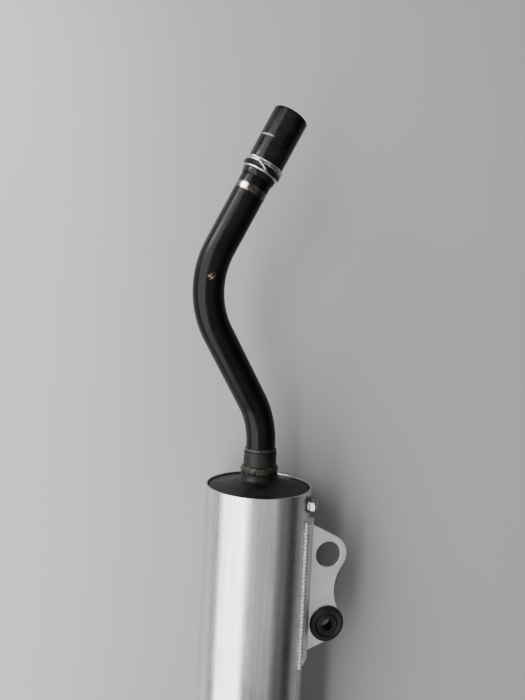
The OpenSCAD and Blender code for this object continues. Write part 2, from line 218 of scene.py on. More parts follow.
def roll(f, degrees):
    c, s = math.cos(math.radians(degrees)), math.sin(math.radians(degrees))
    return (c * f[0] + s * f[1], c * f[1] - s * f[0], f[2], f[3])


def turn(f, radius, degrees):
    c, s = math.cos(math.radians(degrees)), math.sin(math.radians(degrees))
    x = c * f[0] - s * f[2]
    return (x, f[1], s * f[0] + c * f[2], f[3] + radius * (f[0] - x))


start = (Vector((1, 0, 0)), Vector((0, 0, -1)), Vector((0, 1, 0)), Vector((0, PIPE_START, 0)))
bend_a = roll(go(start, FIRST_STRAIGHT), FIRST_ROLL)
bend_b = roll(go(turn(bend_a, *LOWER_BEND), MIDDLE), SECOND_ROLL)
RUN = turn(bend_b, *UPPER_BEND)


def on_run(r, a, s):
    """A point on the end run, s along it from the second bend."""
    return tuple(around(RUN[3] + s * RUN[2], r, a, RUN[0], RUN[1]))


def from_sleeve(r, a, s):
    return on_run(r, a, SLEEVE_START + s)


def on_surface(f, r, toward):
    """The point that faces a direction, on a tube of radius r round a station."""
    n = Vector(toward)
    n -= n.dot(f[2]) * f[2]
    return f[3] + r * n.normalized()


# Marks that the finish shows: a chip on the second bend, a painted highlight on the bare seam and a scuff on
# the sleeve
CHIP_AT = on_surface(turn(bend_b, UPPER_BEND[0], 38), PIPE_R, (0.2, 0, 0.98))
# Where the painted highlight on the seam sits: on the side that faces the lamps
SEAM_HIGHLIGHT_AT = on_surface(go(RUN, STUB_START + SEAM / 2), PIPE_R, (-0.38, 0.18, 0.91))
SCUFF_AT = on_surface(go(RUN, SLEEVE_START + 27.7), SLEEVE_R, (-0.5, 0.24, 0.83))


def sweep(name, points, radius, sides=12, closed=False, sharp=60):
    """A round wire along points, with radius a number or a function of the share of the way along."""
    pts = [Vector(p) for p in points]
    n = len(pts)
    verts, faces, side = [], [], None
    for i, p in enumerate(pts):
        if closed:
            t = pts[(i + 1) % n] - pts[i - 1]
        else:
            t = pts[min(i + 1, n - 1)] - pts[max(i - 1, 0)]
        t.normalize()
        side = t.orthogonal() if side is None else side - side.dot(t) * t
        side.normalize()
        up = t.cross(side)
        r = radius(i / (n - 1)) if callable(radius) else radius
        for k in range(sides):
            a = 2 * math.pi * k / sides
            verts.append(tuple(around(p, r, a, side, up)))
    for i in range(n if closed else n - 1):
        for k in range(sides):
            j, m = (i + 1) % n, (k + 1) % sides
            faces.append((i * sides + k, j * sides + k, j * sides + m, i * sides + m))
    if not closed:
        faces.append(tuple(range(sides)))
        faces.append(tuple((n - 1) * sides + k for k in reversed(range(sides))))
    return new_object(name, verts, faces, sharp)


def joined(name, parts):
    """One object from several."""
    bm = bmesh.new()
    for p in parts:
        bm.from_mesh(p.data)
        bpy.data.objects.remove(p)
    me = bpy.data.meshes.new(name)
    bm.to_mesh(me)
    bm.free()
    return linked(name, me)


# ---- Materials ----
class Mat:
    """A node material, with short ways to add nodes. Texture places are in millimetres in the row frame."""

    def __init__(self, name, color, metallic, roughness, specular=0.5):
        self.m = bpy.data.materials.new(name)
        self.m.use_nodes = True
        self.t = self.m.node_tree
        self.b = self.t.nodes["Principled BSDF"]
        self.b.inputs["Base Color"].default_value = (*color, 1)
        self.b.inputs["Metallic"].default_value = metallic
        self.b.inputs["Roughness"].default_value = roughness
        self.b.inputs["Specular IOR Level"].default_value = specular
        coords = self.node("ShaderNodeTexCoord")
        scaled = self.node("ShaderNodeVectorMath", operation="SCALE")
        self.link(coords.outputs["Object"], scaled.inputs[0])
        scaled.inputs["Scale"].default_value = 1 / MM
        self.place = scaled.outputs[0]
        self.normal = None

    def node(self, kind, **props):
        n = self.t.nodes.new(kind)
        for k, v in props.items():
            setattr(n, k, v)
        return n

    def link(self, a, b):
        self.t.links.new(a, b)

    def math(self, op, a, b=0.0):
        n = self.node("ShaderNodeMath", operation=op)
        for i, v in enumerate((a, b)):
            if isinstance(v, (int, float)):
                n.inputs[i].default_value = v
            else:
                self.link(v, n.inputs[i])
        return n.outputs[0]

    def stretched(self, scale):
        """Coordinates scaled by axis, so that grain runs along the smallest."""
        n = self.node("ShaderNodeVectorMath", operation="MULTIPLY")
        self.link(self.place, n.inputs[0])
        n.inputs[1].default_value = scale
        return n.outputs[0]

    def round_place(self, along):
        """Coordinates round and along the can, so that grain runs with its axis."""
        split = self.node("ShaderNodeSeparateXYZ")
        self.link(self.place, split.inputs[0])
        angle = self.math("ARCTAN2", split.outputs["Z"], split.outputs["X"])
        merge = self.node("ShaderNodeCombineXYZ")
        self.link(self.math("MULTIPLY", angle, CAN_R), merge.inputs["X"])
        self.link(self.math("MULTIPLY", split.outputs["Y"], along), merge.inputs["Y"])
        return merge.outputs[0]

    def noise(self, scale, detail=4, where=None, rough=0.55):
        n = self.node("ShaderNodeTexNoise")
        self.link(where or self.place, n.inputs["Vector"])
        n.inputs["Scale"].default_value = scale
        n.inputs["Detail"].default_value = detail
        n.inputs["Roughness"].default_value = rough
        return n.outputs[0]

    def ramp(self, value, *stops):
        """Maps a value through (place, colour or grey) stops."""
        n = self.node("ShaderNodeValToRGB")
        els = n.color_ramp.elements
        while len(els) < len(stops):
            els.new(0.5)
        for e, (at, c) in zip(els, stops):
            e.position = at
            e.color = (c, c, c, 1) if isinstance(c, (int, float)) else (*c, 1)
        self.link(value, n.inputs[0])
        return n.outputs[0]

    def mix(self, share, a, b):
        n = self.node("ShaderNodeMix", data_type="RGBA")
        for i, v in ((0, share), (6, a), (7, b)):
            if isinstance(v, (int, float)):
                n.inputs[i].default_value = v
            elif isinstance(v, tuple):
                n.inputs[i].default_value = (*v, 1)
            else:
                self.link(v, n.inputs[i])
        return n.outputs[2]

    def near(self, point, radius):
        """1 about a point in millimetres, falling to 0 at the given distance."""
        gap = self.node("ShaderNodeVectorMath", operation="DISTANCE")
        self.link(self.place, gap.inputs[0])
        gap.inputs[1].default_value = point
        return self.ramp(self.math("DIVIDE", gap.outputs["Value"], radius), (0.55, 1.0), (1.0, 0.0))

    def slice(self, point, direction, half):
        """1 in a thin slice through a point, square to a direction."""
        along = self.node("ShaderNodeVectorMath", operation="DOT_PRODUCT")
        self.link(self.place, along.inputs[0])
        along.inputs[1].default_value = direction
        gap = self.math("ABSOLUTE", self.math("SUBTRACT", along.outputs["Value"], point.dot(direction)))
        return self.ramp(self.math("DIVIDE", gap, half), (0.6, 1.0), (1.0, 0.0))

    def color(self, socket):
        self.link(socket, self.b.inputs["Base Color"])

    def rough(self, socket):
        self.link(socket, self.b.inputs["Roughness"])

    def bump(self, socket, strength, distance):
        """Adds relief to the bumps so far, with its distance in metres."""
        n = self.node("ShaderNodeBump")
        n.inputs["Strength"].default_value = strength
        n.inputs["Distance"].default_value = distance
        self.link(socket, n.inputs["Height"])
        if self.normal:
            self.link(self.normal, n.inputs["Normal"])
        self.normal = n.outputs[0]
        self.link(self.normal, self.b.inputs["Normal"])


def brushed_can():
    m = Mat("can_brushed", (0.6, 0.6, 0.59), 1, 0.3)
    grain = m.noise(2.2, 6, m.round_place(0.012), 0.7)
    streak = m.noise(0.35, 4, m.round_place(0.03), 0.6)
    cloud = m.noise(0.035, 3)
    tone = m.mix(m.ramp(streak, (0.35, 0.0), (0.7, 1.0)), (0.50, 0.50, 0.495), (0.66, 0.66, 0.65))
    m.color(m.mix(m.ramp(cloud, (0.4, 0.0), (0.65, 0.35)), tone, (0.44, 0.44, 0.43)))
    both = m.math("ADD", m.math("MULTIPLY", grain, 0.6), m.math("MULTIPLY", cloud, 0.4))
    m.rough(m.ramp(both, (0.3, 0.21), (0.7, 0.36)))
    m.b.inputs["Anisotropic"].default_value = 0.35
    m.bump(grain, 0.18, 0.0001)
    pits = m.ramp(m.noise(0.5, 2, None, 0.4), (0.70, 0.0), (0.76, 1.0))
    m.bump(pits, 0.2, -0.0001)
    return m.m


def black_satin():
    m = Mat("satin_black", (0.006, 0.006, 0.006), 0, 0.42, 0.14)
    fine, cloud = m.noise(1.6, 3), m.noise(0.09, 4)
    m.color(m.ramp(cloud, (0.35, (0.004, 0.004, 0.004)), (0.7, (0.012, 0.012, 0.011))))
    m.rough(m.ramp(cloud, (0.3, 0.34), (0.7, 0.52)))
    m.bump(fine, 0.12, 0.0001)
    return m.m


def gloss_black():
    m = Mat("gloss_black", (0.003, 0.003, 0.003), 0, 0.2, 0.1)
    cloud, fine = m.noise(0.06, 5, None, 0.65), m.noise(0.9, 3)
    paint = m.ramp(cloud, (0.45, (0.003, 0.003, 0.003)), (0.75, (0.005, 0.0046, 0.0042)))
    ragged = m.ramp(m.noise(0.55, 4, None, 0.7), (0.5, 0.0), (0.57, 1.0))
    m.color(m.mix(m.math("MULTIPLY", m.near(CHIP_AT, 3.0), ragged), paint, (0.2, 0.155, 0.105)))
    m.rough(m.ramp(cloud, (0.3, 0.2), (0.7, 0.34)))
    chips = m.ramp(m.noise(0.16, 6, None, 0.75), (0.73, 0.0), (0.75, 1.0))
    m.bump(fine, 0.05, 0.0001)
    m.bump(chips, 0.15, -0.0001)
    return m.m


def painted_weld():
    m = Mat("weld_painted", (0.03, 0.028, 0.023), 0.15, 0.45, 0.2)
    spot, fleck = m.noise(0.45, 4), m.noise(0.9, 5, None, 0.7)
    base = m.ramp(spot, (0.35, (0.008, 0.008, 0.007)), (0.7, (0.035, 0.033, 0.025)))
    m.color(m.mix(m.ramp(fleck, (0.66, 0.0), (0.72, 0.8)), base, (0.42, 0.38, 0.33)))
    m.rough(m.ramp(fleck, (0.35, 0.3), (0.7, 0.6)))
    m.bump(fleck, 0.5, 0.0003)
    return m.m


def bare_seam():
    m = Mat("seam_bare", (0.15, 0.13, 0.12), 1, 0.34)
    spot, fine = m.noise(0.25, 5, None, 0.6), m.noise(1.6, 4)
    dull = m.ramp(spot, (0.32, (0.03, 0.022, 0.017)), (0.5, (0.07, 0.06, 0.054)), (0.68, (0.2, 0.18, 0.172)))
    # Painted highlight: a bright patch near the top of the bare seam stands in for the lamps' reflection
    # there
    m.color(m.mix(m.near(SEAM_HIGHLIGHT_AT, 3.4), dull, (0.6, 0.54, 0.52)))
    m.rough(m.ramp(spot, (0.3, 0.45), (0.7, 0.22)))
    m.bump(fine, 0.3, 0.0002)
    return m.m


def rubber(name, tone, roughness, worn, mark=None):
    """Rubber of a grey tone, lighter by a factor where it's worn, with a scuff round the tube at a mark."""
    m = Mat(name, (tone, tone, tone), 0, roughness, 0.12)
    cloud, fine = m.noise(0.12, 4), m.noise(2.4, 3)
    base = m.ramp(cloud, (0.4, (tone, tone, tone * 1.05)), (0.75, (tone * worn, tone * worn, tone * worn)))
    if mark:
        in_scuff = m.math("MULTIPLY", m.near(mark, 6.0), m.slice(mark, RUN[2], 0.7))
        base = m.mix(in_scuff, base, (0.2, 0.165, 0.15))
    m.color(base)
    m.rough(m.ramp(cloud, (0.3, roughness - 0.06), (0.7, roughness + 0.12)))
    m.bump(fine, 0.15, 0.0001)
    return m.m


def steel(name, tone, roughness, stain):
    clean, stained = (tone, tone, tone * 0.97), (tone * stain, tone * stain * 0.96, tone * stain * 0.9)
    m = Mat(name, clean, 1, roughness)
    cloud, fine = m.noise(0.4, 4), m.noise(3.0, 3)
    m.color(m.ramp(cloud, (0.35, stained), (0.6, clean)))
    m.rough(m.ramp(fine, (0.3, roughness - 0.06), (0.7, roughness + 0.14)))
    m.bump(fine, 0.12, 0.0001)
    return m.m


def bracket_sheet():
    m = Mat("bracket_sheet", (0.62, 0.6, 0.58), 1, 0.42)
    grain = m.noise(1.1, 5, m.stretched((0.5, 0.05, 0.5)), 0.6)
    cloud = m.noise(0.08, 4)
    m.color(m.ramp(cloud, (0.35, (0.80, 0.79, 0.775)), (0.7, (0.90, 0.89, 0.875))))
    m.rough(m.ramp(grain, (0.3, 0.36), (0.7, 0.52)))
    m.bump(grain, 0.15, 0.0001)
    return m.m


def aluminium_weld():
    m = Mat("weld_aluminium", (0.55, 0.545, 0.53), 0.6, 0.5)
    spot = m.noise(0.5, 4)
    m.color(m.ramp(spot, (0.3, (0.26, 0.255, 0.245)), (0.62, (0.46, 0.455, 0.44))))
    m.rough(m.ramp(spot, (0.3, 0.62), (0.7, 0.48)))
    m.bump(m.noise(2.0, 3), 0.2, 0.0001)
    return m.m


def fibres(name, dark, light):
    m = Mat(name, light, 0, 0.95)
    strands = m.noise(1.3, 6, m.stretched((1, 0.15, 1)), 0.7)
    m.color(m.ramp(strands, (0.3, dark), (0.7, light)))
    m.bump(strands, 0.7, 0.0008)
    return m.m


FINISH = {
    "brushed_aluminium": brushed_can(),
    "black_paint": black_satin(),
    "painted_weld": painted_weld(),
    "gloss_black_pipe": gloss_black(),
    "bare_seam": bare_seam(),
    "sleeve_rubber": rubber("sleeve_rubber", 0.004, 0.21, 2.2, SCUFF_AT),
    "steel_wire": steel("steel_wire", 0.6, 0.28, 0.45),
    "bracket_aluminium": bracket_sheet(),
    "aluminium_weld": aluminium_weld(),
    "grommet_rubber": rubber("grommet_rubber", 0.012, 0.48, 1.8),
    "bush_steel": steel("bush_steel", 0.05, 0.5, 0.6),
    "zinc_steel": steel("zinc_steel", 0.34, 0.34, 0.5),
    "core_steel": steel("core_steel", 0.4, 0.4, 0.7),
    "steel_wool": fibres("steel_wool", (0.08, 0.08, 0.08), (0.4, 0.4, 0.39)),
    "glass_fibre": fibres("glass_fibre", (0.5, 0.46, 0.36), (0.85, 0.82, 0.74)),
}
SLOT_OF = {s["node"]: s["material_slot"] for s in frame["record"]["subparts"]}
BODY_OF = {n: b for b, ns in frame["record"]["behaviour"]["bodies"].items() for n in ns}


def stand_for(obj, node):
    """obj takes a CAD node's place, body and finish."""
    obj.data.materials.clear()
    obj.data.materials.append(FINISH[SLOT_OF[node]])
    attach(obj, BODY_OF[node])
    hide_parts(node)
    return obj


def lumps(size, height, seed):
    """Uneven height for a weld: a few lumps round the tube."""

    def bump(a, s, r):
        return height * noise.noise(Vector((math.cos(a) * size, math.sin(a) * size, s * 0.25 + seed)))

    return bump


# ---- The can and its caps ----
can_profile = rounded([(CAN_IN, REAR), (CAN_R, REAR), (CAN_R, RIM), (CAN_IN, RIM)], 0.45, 6)
stand_for(lathe("can", can_profile, on_can_axis, 320), "can_shell")


def cap_profile(neck_out, neck_in, neck_h):
    """A pressed cap facing forwards, from the flange's inner edge round to the inside of the face."""
    face, r = -1.0, 2.5
    outer = [(FLANGE_R, -FLANGE_DEPTH)] + arc((FLANGE_R - r, face - r), r, 0, 90, 12)
    outer += [(neck_out + 11, 0.7), (neck_out + 6, DOME - 0.6)]
    outer += arc((neck_out + 4.4, DOME + 4.4), 4.4, 265, 182, 10)
    outer += [(neck_out, neck_h - 0.5), (neck_out - 0.5, neck_h), (neck_in, neck_h)]
    inner = [(neck_in, DOME - CAP_WALL), (neck_out + 5, DOME - CAP_WALL - 0.6)]
    inner += [(FLANGE_R - CAP_WALL - 1, face - CAP_WALL)]
    inner += [(FLANGE_R - CAP_WALL, face - r), (FLANGE_R - CAP_WALL, -FLANGE_DEPTH)]
    return outer + inner


front = [(r, RIM + s) for r, s in cap_profile(NECK_R, COLLAR_R, 9)]
stand_for(lathe("cap_front", front, on_can_axis, 256), "front_cap")
rear = [(r, REAR - s) for r, s in cap_profile(OUTLET_R + 1.5, OUTLET_R, 5.5)]
stand_for(lathe("cap_rear", rear, on_can_axis, 256), "rear_cap")


def ring_weld(name, low, high, r_tube, height, seed):
    """A lumpy bead round a tube on the can's axis, between two stations."""
    mid, half = (low + high) / 2, (high - low) / 2
    hump = [(r_tube - 0.05, low)]
    for degrees in range(12, 180, 12):
        t = math.radians(degrees)
        hump.append((r_tube + height * 0.85 * math.sin(t) ** 0.7, mid - half * math.cos(t)))
    hump.append((r_tube - 0.05, high))
    uneven = lumps(2.6, height * 0.55, seed)

    def bump(a, s, r):
        share = max(0.0, min(1.0, (r - r_tube) / height))
        ripple = 0.035 * height * math.sin(26 * a + 0.9 * s)
        return share * (uneven(a, s, r) + ripple) - 0.1 * share * height

    return lathe(name, hump, on_can_axis, 240, bump, 80)


stand_for(ring_weld("weld_neck", RIM + 9, RIM + 14.6, COLLAR_R, 2.3, 1.3), "neck_weld")
base, end = RIM + COLLAR_BASE, RIM + COLLAR_TOP
collar = rounded([(PIPE_R, base), (COLLAR_R, base), (COLLAR_R, end), (PIPE_R, end)], 0.4)
stand_for(lathe("collar", collar, on_can_axis), "inlet_collar")
stand_for(ring_weld("weld_collar", end, end + 2.6, PIPE_R, 1.2, 5.1), "collar_weld")
stand_for(ring_weld("weld_outlet", REAR - 8.6, REAR - 5.5, OUTLET_R, 2.0, 8.7), "outlet_weld")

tail = [(OUTLET_MOUTH_R, OUTLET_MOUTH_DEPTH), (OUTLET_MOUTH_R, 0), (OUTLET_R, 0)]
tail += [(OUTLET_R, OUTLET_FRONT), (PIPE_R, OUTLET_FRONT), (PIPE_R, OUTLET_MOUTH_DEPTH)]
stand_for(lathe("outlet", rounded(tail, [0.1, 0.5, 0.5, 0.1, 0.1, 0.1]), on_can_axis), "outlet_pipe")

# ---- The bent pipe, its welded end and the sleeve ----
PIPE_SIDES = 96


def bend_frames(f, radius, degrees, steps):
    return [turn(f, radius, degrees * i / steps) for i in range(steps + 1)]


# Each of the pipe's stations with its roll so far, so that its rings of points line up
pipe_frames = [(start, 0)]
pipe_frames += [(f, FIRST_ROLL) for f in bend_frames(bend_a, *LOWER_BEND, 28)]
pipe_frames += [(f, PIPE_ROLL) for f in bend_frames(bend_b, *UPPER_BEND, 44)]
pipe_frames += [(go(RUN, STUB_START), PIPE_ROLL)]


def pipe():
    verts, faces = [], []
    n, m = len(pipe_frames), PIPE_SIDES
    for r in (PIPE_R, PIPE_IN):
        for f, rolled in pipe_frames:
            for k in range(m):
                a = 2 * math.pi * k / m - math.radians(rolled)
                verts.append(tuple(around(f[3], r, a, f[0], f[1])))
    inner = n * m
    for base in (0, inner):
        for i in range(n - 1):
            for k in range(m):
                a, b = base + i * m + k, base + i * m + (k + 1) % m
                faces.append((a, a + m, b + m, b))
    for i in (0, n - 1):
        faces += band(i * m, inner + i * m, m)
    return new_object("pipe", verts, faces, 50)


stand_for(pipe(), "inlet_pipe")

seam = [(PIPE_IN, 0), (PIPE_R, 0)]
seam += [(PIPE_R + r, s) for r, s in ((0.12, 0.5), (0.15, 1.5), (0.1, 2.6), (0.15, 3.7), (0.1, 4.5))]
seam += [(PIPE_R, SEAM), (PIPE_IN, SEAM)]
seam = [(r, STUB_START + s) for r, s in seam]
stand_for(lathe("seam", seam, on_run, 160, lumps(3.2, 0.05, 2.2), 60), "stub_weld")

stub_s = STUB_START + SEAM
shoulder = SLEEVE_START - SHOULDER_GAP
tip = shoulder + SPIGOT_LEN
stub = [(STUB_IN, stub_s), (PIPE_R, stub_s), (PIPE_R, shoulder)]
stub += [(SPIGOT_R, shoulder), (SPIGOT_R, tip), (STUB_IN, tip)]
stand_for(lathe("stub", rounded(stub, [0.05, 0.05, 0.4, 0.05, 0.5, 0.1]), on_run, 160), "inlet_stub")

# The sleeve: its lip at the shoulder, the inner groove, the bead, the outer groove, and the plain length
STEP = SPIGOT_LEN + 1
MOUTH_ROUND = 1.1
GROOVES = [
    (-0.5, 3.7), (-1.35, 4.3), (-1.55, 4.9), (-1.3, 5.5), (-0.1, 6.0), (0.9, 6.6), (1.25, 7.3), (0.9, 8.1),
    (-0.2, 8.8), (-0.65, 9.4), (-0.7, 10.3), (-0.65, 11.2), (-0.2, 12.0), (0, 12.8), (0, 16),
]
sleeve = [(SPIGOT_R + 0.05, 0)]
sleeve += [(PIPE_R + r, s) for r, s in ((0.15, 0.05), (0.3, 0.4), (0.9, 2.4))]
sleeve += [(SLEEVE_R + r, s) for r, s in GROOVES] + [(SLEEVE_R, SLEEVE_LEN - 1.4)]
sleeve += [
    (SLEEVE_R - MOUTH_ROUND + r, SLEEVE_LEN - MOUTH_ROUND + s) for r, s in arc((0, 0), MOUTH_ROUND, 0, 90, 8)
]
sleeve += [(MOUTH_R + 0.4, SLEEVE_LEN), (MOUTH_R, SLEEVE_LEN - 0.4), (MOUTH_R, STEP), (SPIGOT_R + 0.05, STEP)]
stand_for(lathe("sleeve", sleeve, from_sleeve, 192, None, 50), "connector_sleeve")

# ---- The wire clamp: a hoop in the inner groove, two in the outer, and a tie of two strands with an eye ----
TIE_ANGLE, TIE_SWEEP = -115.0, -46.0  # its middle, and how far round it goes, in degrees
TIE_R = SLEEVE_R + 2.8
TIE_SEAT = 1.35  # the height of the tie's ends above the hoops
STRAND_R = 0.7


def hoop(name, s, r, seed):
    """One turn of wire at a station of the sleeve, slightly uneven."""
    pts, steps = [], 120
    for k in range(steps):
        a = 2 * math.pi * k / steps
        waver = 0.04 * noise.noise(Vector((math.cos(a) * 2, math.sin(a) * 2, seed)))
        pts.append(from_sleeve(r + waver, a, s))
    return sweep(name, pts, WIRE_R, 16, True)


def strand(name, side):
    """One of the tie's two strands, twisted together at both ends and apart in the middle, for an eye."""
    pts, steps = [], 60
    first, last = HOOPS[0], HOOPS[2]
    for i in range(steps + 1):
        t = i / steps
        swell = 1 - (2 * t - 1) ** 4
        seat = first[1] + (last[1] - first[1]) * t + TIE_SEAT
        eye = math.sin(math.pi * t) ** 2
        spin = math.radians(360 * t * 0.75 + 180 * side)
        apart = 0.55 + 0.25 * eye
        r = seat + (TIE_R - seat) * swell * 0.92 + apart * swell * math.sin(spin) * 0.6
        a = TIE_ANGLE + TIE_SWEEP * (t - 0.5) + 4.2 * apart * swell * math.cos(spin)
        pts.append(from_sleeve(r, math.radians(a), first[0] + (last[0] - first[0]) * t))
    return sweep(name, pts, STRAND_R, 12)


wire = [hoop(f"hoop_{i}", s, r, 3.0 * i) for i, (s, r) in enumerate(HOOPS)]
wire += [strand(f"strand_{k}", k) for k in (0, 1)]
stand_for(joined("clamp", wire), "clamp_wire")


# ---- The bracket ----
PLATE_X = Vector((math.cos(SLOPE), 0, -math.sin(SLOPE)))
PLATE_N = Vector((math.sin(SLOPE), 0, math.cos(SLOPE)))
PLATE_O = Vector((CORNER[0], RIM, CORNER[1]))


def touch(p, c, r, side):
    """Where a line from p touches the circle (c, r), on the chosen side."""
    d = Vector(p) - Vector(c)
    a = math.atan2(d.y, d.x) + side * math.acos(r / d.length)
    return Vector((c[0] + r * math.cos(a), c[1] + r * math.sin(a)))


def outer_touch(c1, r1, c2, r2, r3):
    """The centre of a circle of radius r3 that touches two others from outside, to their right."""
    c1, c2 = Vector(c1), Vector(c2)
    d = (c2 - c1).length
    a, b = r1 + r3, r2 + r3
    t = (a * a - b * b + d * d) / (2 * d)
    u = (c2 - c1) / d
    return c1 + t * u + math.sqrt(a * a - t * t) * Vector((-u.y, u.x))


def angle_of(p, c):
    return math.degrees(math.atan2(p[1] - c[1], p[0] - c[0]))


def plate_outline():
    """The plate's edge, anticlockwise from the rear root."""
    waist = outer_touch(UPPER_LOBE, UPPER_LOBE_R, LOWER_LOBE, LOWER_LOBE_R, WAIST_R)
    front, back = (0, ROOT_FRONT), (0, ROOT_REAR)
    low, high = touch(back, LOWER_LOBE, LOWER_LOBE_R, 1), touch(front, UPPER_LOBE, UPPER_LOBE_R, -1)
    a0, a1 = angle_of(low, LOWER_LOBE), angle_of(waist, LOWER_LOBE)
    b0, b1 = angle_of(waist, UPPER_LOBE), angle_of(high, UPPER_LOBE)
    w0, w1 = angle_of(LOWER_LOBE, waist) % 360, angle_of(UPPER_LOBE, waist) % 360
    return (
        [(ROOT_DEPTH, ROOT_REAR), back]
        + arc(LOWER_LOBE, LOWER_LOBE_R, a0, a1 if a1 > a0 else a1 + 360, 48)
        + arc(waist, WAIST_R, w0, w1, 48)[1:-1]
        + arc(UPPER_LOBE, UPPER_LOBE_R, b0, b1 if b1 > b0 else b1 + 360, 48)
        + [front, (ROOT_DEPTH, ROOT_FRONT)]
    )


def flat_plate():
    """The plate as a filled outline with two holes, extruded with softly broken edges."""
    edge = 0.2
    cu = bpy.data.curves.new("plate_curve", "CURVE")
    cu.dimensions = "2D"
    cu.fill_mode = "BOTH"
    cu.extrude = (BRACKET_T / 2 - edge) * MM
    cu.bevel_depth = edge * MM
    cu.bevel_resolution = 3
    cu.offset = -edge * MM
    holes = [arc(c, HOLE_R, 0, 356, 89) for c in (UPPER_LOBE, LOWER_LOBE)]
    for line in [plate_outline(), *holes]:
        sp = cu.splines.new("POLY")
        sp.points.add(len(line) - 1)
        for p, (x, y) in zip(sp.points, line):
            p.co = (x * MM, y * MM, 0, 1)
        sp.use_cyclic_u = True
    o = linked("plate_curve", cu)
    dg = bpy.context.evaluated_depsgraph_get()
    me = bpy.data.meshes.new_from_object(o.evaluated_get(dg))
    bpy.data.objects.remove(o)
    me.transform(axes_at((PLATE_O - PLATE_N * BRACKET_T / 2) * MM, PLATE_X, ALONG, PLATE_N))
    smooth(me, 40)
    return linked("plate", me)


def foot():
    """The bracket's foot, which hugs the can above the corner line."""
    n, spread = 24, FOOT_HIGH - FOOT_LOW
    y0, y1 = RIM + FOOT_FRONT - FOOT_LENGTH, RIM + FOOT_FRONT
    section = [(CAN_R + 0.02, FOOT_LOW + spread * i / n) for i in range(n + 1)]
    section += [(CAN_R + BRACKET_T, FOOT_HIGH - spread * i / n) for i in range(n + 1)]
    m = len(section)
    verts = [(r * math.cos(a), y, r * math.sin(a)) for y in (y0, y1) for r, a in section]
    faces = [(k, (k + 1) % m, m + (k + 1) % m, m + k) for k in range(m)]
    faces += [(k, k + 1, m - 2 - k, m - 1 - k) for k in range(n)]
    faces += [(m + k, m + k + 1, 2 * m - 2 - k, 2 * m - 1 - k) for k in range(n)]
    return new_object("foot", verts, faces, 30)


stand_for(joined("bracket", [flat_plate(), foot()]), "mounting_bracket")


def long_weld(name, degrees, r_centre, y0, y1, seed):
    """A rippled bead along the can: rows of overlapping scales."""
    pitch, bead, rows, sides = 2.6, 2.0, 520, 28
    depth = 0.27  # of the grooves between the scales, as a share of the bead
    a = math.radians(degrees)
    out, along = Vector((math.cos(a), 0, math.sin(a))), Vector((-math.sin(a), 0, math.cos(a)))
    verts, faces = [], []
    for i in range(rows + 1):
        t = i / rows
        y = y0 + (y1 - y0) * t
        end = min(1.0, math.sqrt(max(0.0, 1 - max(0.0, 1 - min(y - y0, y1 - y) / bead) ** 2)))
        for k in range(sides):
            b = 2 * math.pi * k / sides
            across = math.sin(b)
            uneven = noise.noise(Vector((y * 0.2, seed, 0)))
            phase = (y + 1.3 * across * across + 0.25 * uneven) / pitch % 1
            ripple = 1 - depth * (1 - math.sin(math.pi * phase) ** 0.6)
            wander = 1 + 0.05 * noise.noise(Vector((y * 0.12, seed, across)))
            r = bead * end * ripple * wander * 0.98
            p = out * (r_centre + r * math.cos(b)) + along * (r * across)
            verts.append((p.x, y, p.z))
    for i in range(rows):
        faces += band(i * sides, (i + 1) * sides, sides)
    return new_object(name, verts, faces, 80)


upper = long_weld("weld_bracket_upper", 28.6, CAN_R + 1.1, RIM - 129, RIM - 20.5, 1.0)
stand_for(upper, "bracket_weld_upper")
clear = RIM + LOWER_LOBE[1] + GROMMET_R + 2  # 2 mm short of the grommet
stand_for(long_weld("weld_bracket_lower", 0.1, CAN_R + 1.0, clear, RIM - 24, 7.0), "bracket_weld_lower")


def on_plate(c):
    """Places a lathe profile about the plate's hole at c, with stations from the plate's middle."""
    centre = PLATE_O + c[0] * PLATE_X + c[1] * ALONG - PLATE_N * BRACKET_T / 2
    return lambda r, a, s: tuple(around(centre, r, a, PLATE_X, ALONG) + s * PLATE_N)


half, top = BRACKET_T / 2, BRACKET_T / 2 + GROMMET_LIP
lip = [(BUSH_R, top - 0.4), (BUSH_R + 1.4, top - 0.4), (BUSH_R + 1.9, top - 1.4)]
lip += [(BUSH_R + 2.9, top - 1.4), (BUSH_R + 3.6, top), (GROMMET_R - 2, top), (GROMMET_R, top - 2)]
lip += [(GROMMET_R, half + 0.05), (HOLE_R, half + 0.05)]
grommet = lip + [(r, -s) for r, s in reversed(lip)]
stand_for(lathe("grommet", rounded(grommet, 0.55, 4), on_plate(LOWER_LOBE), 128, None, 60), "bracket_grommet")
bush_half = (2 * GROMMET_LIP + BRACKET_T - 0.8) / 2
bush = [(BUSH_HOLE_R, -bush_half), (BUSH_R, -bush_half), (BUSH_R, bush_half), (BUSH_HOLE_R, bush_half)]
stand_for(lathe("bush", rounded(bush, 0.35), on_plate(LOWER_LOBE), 96), "grommet_bush")


# ---- Bolts and washers ----
def at_bolt(degrees):
    """Places a profile about a bolt's axis, with stations out from the can's axis."""
    a = math.radians(degrees)
    out, side = Vector((math.cos(a), 0, math.sin(a))), Vector((-math.sin(a), 0, math.cos(a)))
    return lambda r, t, s: tuple(around(Vector((0, BOLT_Y, 0)) + out * s, r, t, side, ALONG))


